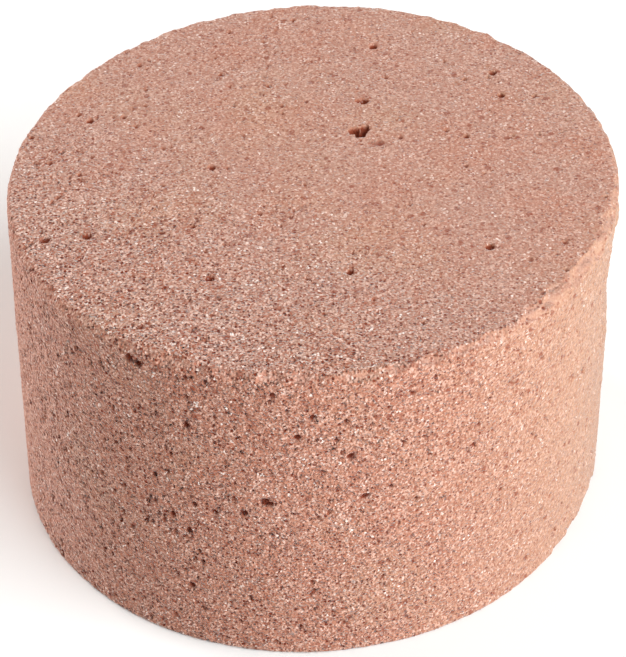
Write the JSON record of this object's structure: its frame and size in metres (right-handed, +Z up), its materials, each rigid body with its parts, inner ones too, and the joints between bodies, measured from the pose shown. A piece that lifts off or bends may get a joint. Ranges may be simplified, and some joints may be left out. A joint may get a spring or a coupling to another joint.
{
  "type": "floral foam cylinder",
  "caption": "Squat round block of open-cell floral foam, cut from a slab, with flat parallel ends and a slightly leaning side, that holds pushed-in stems.",
  "frame": {"origin": "centre of the bounding box's underside, on the flat base", "axes": "+Z up, square to the two flat ends; +X towards the side that the top leans to; -Y is the front"},
  "size_m": [0.0818, 0.08, 0.048],
  "materials": {
    "phenolic_foam": "matte"
  },
  "bodies": {
    "root": {"foam_cylinder": "phenolic_foam"}
  },
  "joints": []
}
